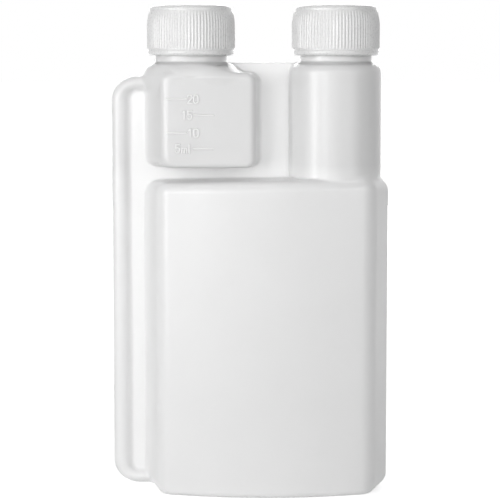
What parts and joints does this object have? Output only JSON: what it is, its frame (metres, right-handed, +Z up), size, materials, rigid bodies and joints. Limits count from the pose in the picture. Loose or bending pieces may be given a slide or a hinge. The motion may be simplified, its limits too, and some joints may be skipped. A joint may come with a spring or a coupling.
{
  "type": "dosing bottle",
  "caption": "Flat squeeze bottle with a side transfer tube that fills a graduated dosing chamber beside the filling neck, each neck closed by a ribbed screw cap.",
  "frame": {"origin": "on the ground under the middle of the bottle's overall box", "axes": "+Z up, the front with the graduations faces -Y, the dosing chamber is towards -X"},
  "size_m": [0.0956, 0.0396, 0.1677],
  "materials": {
    "bottle": "natural milky polyethylene, satin",
    "caps": "white polypropylene, semi-gloss",
    "liners": "white foamed polyethylene"
  },
  "bodies": {
    "bottle": {"bottle": "bottle"},
    "dosing_liner": {"dosing_cap_liner": "liners"},
    "dosing_cap": {"dosing_cap": "caps"},
    "filling_liner": {"filling_cap_liner": "liners"},
    "filling_cap": {"filling_cap": "caps"}
  },
  "joints": [
    {"name": "dosing_cap_lift", "type": "slide", "parent": "bottle", "child": "dosing_liner", "axis": [0, 0, 1], "range_m": [0, 0.01905]},
    {"name": "dosing_cap_turn", "type": "hinge", "parent": "dosing_liner", "child": "dosing_cap", "pos_m": [-0.0203, 0, 0.15085], "axis": [0, 0, 1], "range_deg": [0, 1620]},
    {"name": "filling_cap_lift", "type": "slide", "parent": "bottle", "child": "filling_liner", "axis": [0, 0, 1], "range_m": [0, 0.01905]},
    {"name": "filling_cap_turn", "type": "hinge", "parent": "filling_liner", "child": "filling_cap", "pos_m": [0.0293, 0, 0.15085], "axis": [0, 0, 1], "range_deg": [0, 1620]}
  ],
  "couplings": [
    {"joint": "dosing_cap_lift", "follows": "dosing_cap_turn", "m_per_rad": 0.0006737},
    {"joint": "filling_cap_lift", "follows": "filling_cap_turn", "m_per_rad": 0.0006737}
  ]
}
